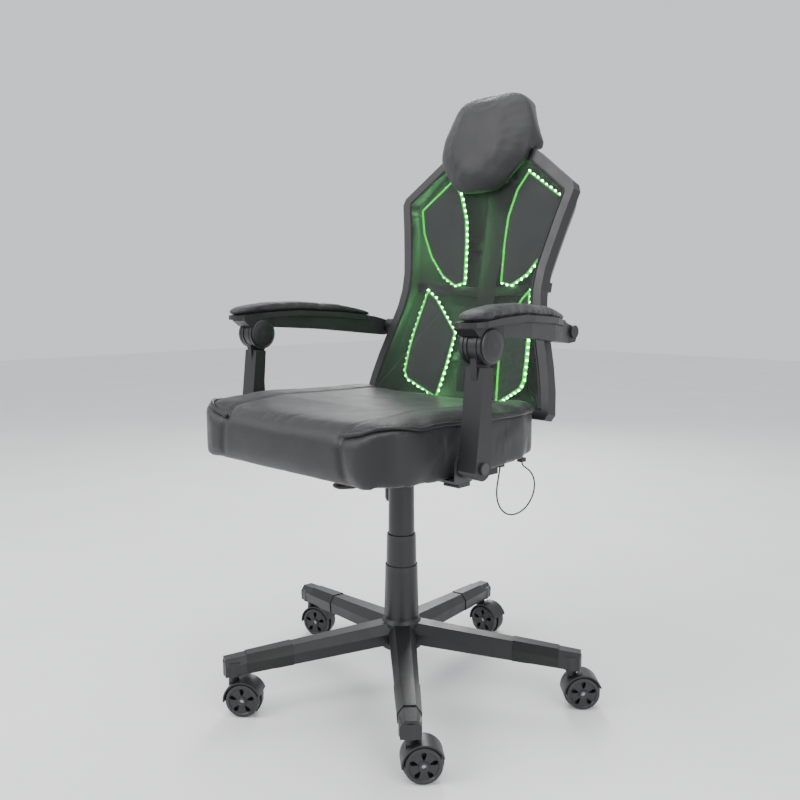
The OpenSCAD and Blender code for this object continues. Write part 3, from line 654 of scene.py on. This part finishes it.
def domed(name, edge, centre, rings, depth, thick):
    """A closed thin shell; depth(s) is n at s, from 1 at the edge to 0 in the middle."""
    verts, faces, k = [], [], len(edge)
    for face in (0, 1):
        for i in range(rings):
            s = 1 - i / rings
            for x, v in edge:
                verts.append(on_back(centre[0] + (x - centre[0]) * s, depth(s) + face * thick,
                                     centre[1] + (v - centre[1]) * s))
        verts.append(on_back(centre[0], depth(0) + face * thick, centre[1]))
    side = rings * k + 1
    for face in (0, 1):
        o = face * side
        for i in range(rings):
            for j in range(k):
                a, b = o + i * k + j, o + i * k + (j + 1) % k
                if i < rings - 1:
                    f = (a, b, b + k, a + k)
                else:
                    f = (a, b, o + rings * k)
                faces.append(f if face == 0 else f[::-1])
    for j in range(k):
        a, b = j, (j + 1) % k
        faces.append((b, a, a + side, b + side))
    ob = add_mesh(name, verts, faces)
    return outward(ob)


SHEET_MIDDLE = (0, 260)
KNIT_INSET, KNIT_AT, KNIT_SAG, KNIT_THICK = 20, -13.7, 0.6, 1.3
COVER_INSET, COVER_AT, COVER_DEPTH, COVER_THICK = 9, 12.5, 56, 2.2
knit_edge = even(grown(outline, -KNIT_INSET), 220)
back_cloth = domed("back_knit_sheet", knit_edge, SHEET_MIDDLE, 26,
                   lambda s: KNIT_AT + KNIT_SAG * (1 - s ** 4), KNIT_THICK)
back_cloth.data.materials.append(MESH)
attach(back_cloth, "back")
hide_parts("back_mesh")
edge_trim = tube("knit_edge_trim", [on_back(x, -12.6, v) for x, v in knit_edge], 0.0017,
                 sides=8, closed=True)
edge_trim.data.materials.append(PIPING_SKIN)
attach(edge_trim, "back")

COVER, nt, b = finish("rear_cover", (0.012, 0.012, 0.013), 0.85, sheen=0.2)
v = coords(nt)
weave = cells_tex(nt, v, 420)
nt.links.new(ramp(nt, weave, [(0.0, grey(0.03)), (0.25, grey(0.07))]), b.inputs["Base Color"])
bump(nt, b, weave, 0.5, 0.0004)
rear_cover = domed("rear_cover", even(grown(outline, -COVER_INSET), 160), SHEET_MIDDLE, 40,
                   lambda s: COVER_AT + COVER_DEPTH * (1 - s ** 10), COVER_THICK)
rear_cover.data.materials.append(COVER)
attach(rear_cover, "back")
print("rear cover", len(rear_cover.data.polygons), "faces")

# %% [markdown]
# ## Beads along a line
# Lamps and stitches are both small beads along a line. One Geometry Nodes group serves them: it
# takes the line's edges, spaces points along them, puts a small bead on each point, varies its
# size a little from a fixed seed, and ends as real mesh with one finish.

# %% Bead group
def bead_group():
    g = bpy.data.node_groups.new("beads_on_a_line", "GeometryNodeTree")
    g.interface.new_socket("Geometry", in_out="INPUT", socket_type="NodeSocketGeometry")
    for name, start in (("Spacing", 0.011), ("Long", 0.002), ("Wide", 0.002), ("Uneven", 0.1)):
        g.interface.new_socket(name, in_out="INPUT", socket_type="NodeSocketFloat").default_value = start
    g.interface.new_socket("Seed", in_out="INPUT", socket_type="NodeSocketInt").default_value = 3
    g.interface.new_socket("Material", in_out="INPUT", socket_type="NodeSocketMaterial")
    g.interface.new_socket("Geometry", in_out="OUTPUT", socket_type="NodeSocketGeometry")
    put = lambda kind: g.nodes.new(kind)
    start, end = put("NodeGroupInput"), put("NodeGroupOutput")
    line, space = put("GeometryNodeMeshToCurve"), put("GeometryNodeResampleCurve")
    bead = put("GeometryNodeMeshUVSphere")
    tangent, turn = put("GeometryNodeInputTangent"), put("FunctionNodeAlignRotationToVector")
    size, grow = put("ShaderNodeCombineXYZ"), put("ShaderNodeVectorMath")
    vary = put("FunctionNodeRandomValue")
    low, high = put("ShaderNodeMath"), put("ShaderNodeMath")
    place, real = put("GeometryNodeInstanceOnPoints"), put("GeometryNodeRealizeInstances")
    paint = put("GeometryNodeSetMaterial")
    space.mode = "LENGTH"
    turn.axis = "X"
    bead.inputs["Segments"].default_value, bead.inputs["Rings"].default_value = 8, 5
    bead.inputs["Radius"].default_value = 0.5
    grow.operation = "SCALE"
    low.operation, high.operation = "SUBTRACT", "ADD"
    low.inputs[0].default_value = high.inputs[0].default_value = 1.0
    tie = g.links.new
    tie(start.outputs["Geometry"], line.inputs["Mesh"])
    tie(line.outputs["Curve"], space.inputs["Curve"])
    tie(start.outputs["Spacing"], space.inputs["Length"])
    tie(space.outputs["Curve"], place.inputs["Points"])
    tie(bead.outputs["Mesh"], place.inputs["Instance"])
    tie(tangent.outputs["Tangent"], turn.inputs["Vector"])
    tie(turn.outputs["Rotation"], place.inputs["Rotation"])
    tie(start.outputs["Long"], size.inputs["X"])
    tie(start.outputs["Wide"], size.inputs["Y"])
    tie(start.outputs["Wide"], size.inputs["Z"])
    tie(start.outputs["Uneven"], low.inputs[1])
    tie(start.outputs["Uneven"], high.inputs[1])
    floats = [s for s in vary.inputs if s.type == "VALUE"]
    tie(low.outputs[0], floats[0])
    tie(high.outputs[0], floats[1])
    tie(start.outputs["Seed"], vary.inputs["Seed"])
    tie(size.outputs["Vector"], grow.inputs[0])
    tie([s for s in vary.outputs if s.type == "VALUE"][0], grow.inputs["Scale"])
    tie(grow.outputs["Vector"], place.inputs["Scale"])
    tie(place.outputs["Instances"], real.inputs["Geometry"])
    tie(real.outputs["Geometry"], paint.inputs["Geometry"])
    tie(start.outputs["Material"], paint.inputs["Material"])
    tie(paint.outputs["Geometry"], end.inputs["Geometry"])
    return g


BEADS = bead_group()


def beads(name, lines, spacing, long, wide, mat, seed=3, uneven=0.1):
    """Real beads along each line of points, as one plain mesh."""
    verts, edges = [], []
    for line in lines:
        o = len(verts)
        verts += [tuple(p) for p in line]
        edges += [(o + i, o + i + 1) for i in range(len(line) - 1)]
    me = bpy.data.meshes.new(name)
    me.from_pydata(verts, edges, [])
    ob = bpy.data.objects.new(name, me)
    scene.collection.objects.link(ob)
    m = ob.modifiers.new("beads", "NODES")
    m.node_group = BEADS
    ids = {s.name: s.identifier for s in BEADS.interface.items_tree if s.in_out == "INPUT"}
    for key, value in (("Spacing", spacing), ("Long", long), ("Wide", wide), ("Uneven", uneven),
                       ("Seed", seed), ("Material", mat)):
        m[ids[key]] = value
    apply_all(ob)
    print(name, len(ob.data.polygons), "faces")
    return ob


# %% [markdown]
# ## The four light strips
# Each panel is wrapped by a flexible strip that stands on its rim and shines outward. The strip is
# two millimetres thin and eight deep, and its lamps sit on the outer face, thirteen millimetres
# apart. From one side only half of the lamps are seen straight on; the rest light the frame.

# %% Strips and lamps
RING = 140
STRIP_IN, STRIP_OUT, LAMPS_OUT = 0.3, 2.3, 2.7
STRIP_FRONT, STRIP_REAR = -3, 5


def strip(name, place, panel, s):
    inside, outside = even(grown(panel, STRIP_IN), RING), even(grown(panel, STRIP_OUT), RING)
    verts, faces, k = [], [], RING
    lo, hi = STRIP_FRONT, STRIP_REAR
    for (xi, vi), (xo, vo) in zip(inside, outside):
        for x, n, v in ((xi, lo, vi), (xo, lo, vo), (xo, hi, vo), (xi, hi, vi)):
            q = place(x, n, v)
            verts.append(on_back(s * q[0], q[1], q[2]))
    for i in range(k):
        a, b = i * 4, (i + 1) % k * 4
        for j in range(4):
            faces.append((a + j, a + (j + 1) % 4, b + (j + 1) % 4, b + j))
    ob = add_mesh(name, verts, faces, smooth=False)
    outward(ob)
    ob.data.materials.append(GLOW)
    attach(ob, "back")
    return ob


lamp_lines = []
for row, place, panel in (("upper", on_upper, upper_panel), ("lower", on_lower, lower_panel)):
    ring = even(grown(panel, LAMPS_OUT), RING)
    for side, s in (("left", 1), ("right", -1)):
        piece = strip(f"light_strip_{row}_{side}", place, panel, s)
        if row == "upper" and side == "left":
            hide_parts("light_strips")
        line = []
        for x, y in ring + ring[:1]:
            q = place(x, 1.0, y)
            line.append(on_back(s * q[0], q[1], q[2]))
        lamp_lines.append(line)
lamps = beads("strip_lamps", lamp_lines, 0.0128, 0.0046, 0.0042, LAMP, seed=5, uneven=0.12)
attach(lamps, "back")

# %% [markdown]
# ## Hanging lead
# The lead keeps the route and the length of the CAD lead, and both of its ends go into the clips.

lead.data.materials.append(RUBBER)
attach(lead, "seat")
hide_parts("light_lead")

# %% [markdown]
# ## Seat cushion
# The seat is a thick block with rounded front corners. The top is crowned on both side bolsters
# and dips in the middle where one sits. The underside is drawn down clear of the tilt housing, and
# twice as far at the rim outside the board. A welt runs from the front corners back along both
# edges, and inside it a stitched seam parts the punched bolster from the smooth middle.

# %% Seat cushion
def snapped(ob, pts, lift=0.0, steps=6):
    """A line laid on the piece: every point goes to the nearest place on its surface."""
    fine = smooth_route(pts, steps)
    out = []
    for p in fine:
        _, near, nor, _ = ob.closest_point_on_mesh(Vector(p))
        out.append(near + nor * lift)
    return out


CROWN_FROM, BOLSTER_X, BOLSTER_WIDE = 0.545, 0.212, 0.034
UNDERSIDE_DOWN, RIM_DOWN = 0.008, 0.008
CORNER_OUT, CORNER_FORWARD = 0.010, 0.005
seat_pad = from_cad("seat_cushion_soft", "seat_cushion")
remesh(seat_pad, 0.0055)
soften(seat_pad, 6)
inflate(seat_pad, 0.006, 4.0)
co = points_of(seat_pad)
top = np.clip((co[:, 2] - CROWN_FROM) / 0.02, 0, 1)
ax, y = np.abs(co[:, 0]), co[:, 1]
bolster = np.exp(-((ax - BOLSTER_X) / BOLSTER_WIDE) ** 2)
dish = np.exp(-(ax / 0.15) ** 4) * np.clip((y + 0.30) / 0.1, 0, 1)
front_sag = np.exp(-((ax - 0.03) / 0.12) ** 2) * np.exp(-((y + 0.285) / 0.03) ** 2)
co[:, 2] += top * (0.004 * bolster - 0.004 * dish - 0.002 * front_sag)
wrinkle = np.array([noise.noise(Vector((p[0] * 9, p[1] * 9, p[2] * 16))) for p in co])
co[:, 2] += 0.0012 * wrinkle * top
co[:, 1] -= 0.0016 * wrinkle * np.clip((-0.28 - y) / 0.02, 0, 1)
rim = np.maximum.reduce([(ax - 0.238) / 0.01, (-0.278 - y) / 0.01, (y - 0.110) / 0.008])
underside = np.clip((0.535 - co[:, 2]) / 0.035, 0, 1)
co[:, 2] -= (UNDERSIDE_DOWN + RIM_DOWN * np.clip(rim, 0, 1)) * underside
corner = np.clip((-0.16 - y) / 0.10, 0, 1) * np.clip((ax - 0.17) / 0.07, 0, 1)
co[:, 0] += np.sign(co[:, 0]) * CORNER_OUT * corner
co[:, 1] -= CORNER_FORWARD * corner
set_points(seat_pad, co)

welt_lines, seam_lines, front_seams = [], [], []
for s in (1, -1):
    welt_lines.append(snapped(seat_pad, [(s * x, y, z) for x, y, z in (
        (0.154, -0.298, 0.560), (0.180, -0.297, 0.567), (0.210, -0.286, 0.571), (0.238, -0.260, 0.572),
        (0.253, -0.222, 0.572), (0.257, -0.170, 0.571), (0.258, -0.100, 0.569), (0.257, -0.020, 0.567),
        (0.253, 0.050, 0.565), (0.243, 0.098, 0.564), (0.214, 0.124, 0.564))], 0.0006))
    seam_lines.append(snapped(seat_pad, [(s * x, y, z) for x, y, z in (
        (0.154, -0.298, 0.558), (0.157, -0.284, 0.572), (0.163, -0.250, 0.580), (0.170, -0.190, 0.582),
        (0.176, -0.100, 0.582), (0.177, 0.000, 0.580), (0.172, 0.080, 0.576), (0.166, 0.122, 0.565))]))
    front_seams.append(snapped(seat_pad, [(s * x, y, z) for x, y, z in (
        (0.154, -0.299, 0.558), (0.156, -0.305, 0.540), (0.159, -0.306, 0.515), (0.162, -0.300, 0.494))]))
sewn(seat_pad, seam_lines + front_seams, 0.006, 0.0042)
sewn(seat_pad, welt_lines, 0.007, 0.0030)
subdivide(seat_pad, 1)
seat_pad.data.materials.clear()
for m in (SEAT_SKIN, SIDE_SKIN):
    seat_pad.data.materials.append(m)
count = len(seat_pad.data.polygons)
mid = np.zeros(count * 3)
nor = np.zeros(count * 3)
seat_pad.data.polygons.foreach_get("center", mid)
seat_pad.data.polygons.foreach_get("normal", nor)
mid, nor = mid.reshape(-1, 3), nor.reshape(-1, 3)
inner = np.array(sorted((p.y, abs(p.x)) for p in seam_lines[0]))
outer = np.array(sorted((p.y, abs(p.x)) for p in welt_lines[0]))
x_in = np.interp(mid[:, 1], inner[:, 0], inner[:, 1])
x_out = np.interp(mid[:, 1], outer[:, 0], outer[:, 1])
mx = np.abs(mid[:, 0])
punched = (mx > x_in) & (mx < x_out) & (mid[:, 2] > 0.552) & (nor[:, 2] > 0.25) & (mid[:, 1] > -0.292)
seat_pad.data.polygons.foreach_set("material_index", punched.astype(np.int32))
seat_pad.data.update()
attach(seat_pad, "seat")
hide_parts("seat_cushion")
print("seat", count, "faces,", int(punched.sum()), "punched")

# %% [markdown]
# ## Welts and stitches of the seat
# The welt is a cord wrapped in skin, so it is a tube half sunk in the cushion. The stitches lie
# on both sides of the seams, six millimetres off and half sunk. They are one bead each.

# %% Seat welts and stitches
for i, line in enumerate(welt_lines):
    w = tube(f"seat_welt_{i + 1}", line, 0.0034, sides=10)
    w.data.materials.append(PIPING_SKIN)
    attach(w, "seat")
STITCH_OFF = 0.0062
stitch_lines = []
for line in seam_lines + front_seams:
    for off in (-STITCH_OFF, STITCH_OFF):
        stitch_lines.append(snapped(seat_pad, [tuple(p + Vector((off, 0, 0))) for p in line], 0.0001, 1))
seat_stitches = beads("seat_stitches", stitch_lines, 0.0052, 0.0036, 0.0009, THREAD, seed=9)
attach(seat_stitches, "seat")

# %% [markdown]
# ## Head cushion
# The head cushion is one padded shield. It hugs the top of the frame, so its rear part stays in
# place. The form is blown up and smoothed, and its front face is drawn in and flattened toward
# the edge, which rounds the rim.

# %% Head cushion
HEAD_MIDDLE, HEAD_WIDE, HEAD_HIGH = 0.536, 0.118, 0.104
HEAD_FRONT = -0.014
head = from_cad("head_cushion_soft", "head_cushion")
remesh(head, 0.0045)
soften(head, 8)
inflate(head, 0.005, 4.0)
co = points_of(head) - np.array(B0)
n = co[:, 1] * math.cos(LEAN) - co[:, 2] * math.sin(LEAN)
v = co[:, 1] * math.sin(LEAN) + co[:, 2] * math.cos(LEAN)
front = np.clip((HEAD_FRONT - n) / 0.044, 0, 1.15)
keep = 1 - 0.26 * np.clip(front, 0, 1) ** 2.6
x = co[:, 0] * keep
v = HEAD_MIDDLE + (v - HEAD_MIDDLE) * (1 - 0.20 * np.clip(front, 0, 1) ** 2.6)
n = np.where(n > 0, n * 1.7, n)
far = np.clip((co[:, 0] / HEAD_WIDE) ** 2 + ((v - HEAD_MIDDLE) / HEAD_HIGH) ** 2, 0, 1.4)
n = np.where(n < HEAD_FRONT, HEAD_FRONT + (n - HEAD_FRONT) * (0.92 - 0.16 * far), n)
co = np.stack([x, n * math.cos(LEAN) + v * math.sin(LEAN),
               -n * math.sin(LEAN) + v * math.cos(LEAN)], axis=1)
set_points(head, co + np.array(B0))
soften(head, 14)
subdivide(head, 1)
head.data.materials.clear()
head.data.materials.append(HEAD_SKIN)
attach(head, "back")
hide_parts("head_cushion")
print("head cushion", len(head.data.polygons), "faces")

# %% [markdown]
# ## Armrest pads
# Both pads are the same shape, mirrored. They are a firm foam skin on the plastic arm, so they
# are rounded with little puff.

# %% Armrest pads
for side in ("left", "right"):
    pad = from_cad(f"arm_pad_soft_{side}", f"arm_pad_{side}")
    remesh(pad, 0.004)
    soften(pad, 26)
    inflate(pad, 0.002, 3.0)
    subdivide(pad, 1)
    pad.data.materials.clear()
    pad.data.materials.append(ARM_SKIN)
    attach(pad, "arm_l" if side == "left" else "arm_r")
    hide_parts(f"arm_pad_{side}")
    print("pad", side, len(pad.data.polygons), "faces")

# %% [markdown]
# ## Room and light
# The chair stands on a pale floor in soft studio light. A wide lamp above the front left gives
# the gloss on the leather, a second one fills from the right, and a strip behind draws the edges.

# %% Floor and lamps
FLOOR, nt, b = finish("pale_floor", (0.86, 0.86, 0.86), 0.6)
nt.links.new(ramp(nt, noise_tex(nt, coords(nt), 3, 2), [(0.3, grey(0.84)), (0.7, grey(0.88))]),
             b.inputs["Base Color"])
far = 9
floor = add_mesh("floor", [(-far, -far, 0), (far, -far, 0), (far, far, 0), (-far, far, 0)],
                 [(0, 1, 2, 3)], smooth=False)
floor.data.materials.append(FLOOR)
stage = [floor]


def area_lamp(name, place, aim, size, power):
    lamp = bpy.data.lights.new(name, "AREA")
    lamp.shape, lamp.size, lamp.size_y, lamp.energy = "RECTANGLE", size[0], size[1], power
    ob = bpy.data.objects.new(name, lamp)
    scene.collection.objects.link(ob)
    ob.location = place
    ob.rotation_euler = (Vector(aim) - Vector(place)).to_track_quat("-Z", "Y").to_euler()
    return ob


stage.append(area_lamp("key", (-1.2, -2.2, 2.4), (0, 0, 0.6), (1.6, 1.6), 60))
stage.append(area_lamp("fill", (2.6, -0.6, 1.6), (0, 0, 0.6), (1.4, 1.8), 32))
stage.append(area_lamp("edge", (-1.6, 2.0, 2.0), (0, 0.1, 0.7), (0.6, 2.0), 45))
stage.append(area_lamp("top", (0.2, -0.3, 3.0), (0, 0, 0.5), (1.8, 1.8), 34))
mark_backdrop(*stage)
world = bpy.data.worlds.new("room")
scene.world = world
world.use_nodes = True
world.node_tree.nodes["Background"].inputs["Color"].default_value = (0.95, 0.97, 1.0, 1)
world.node_tree.nodes["Background"].inputs["Strength"].default_value = 0.95
print("stage set")

# %% Write sizes and finish
bpy.context.view_layer.update()
full_box = [list(p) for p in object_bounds()]
for name, box in (("cad", cad_box), ("finished", full_box)):
    print(name, [[round(c, 3) for c in p] for p in box])
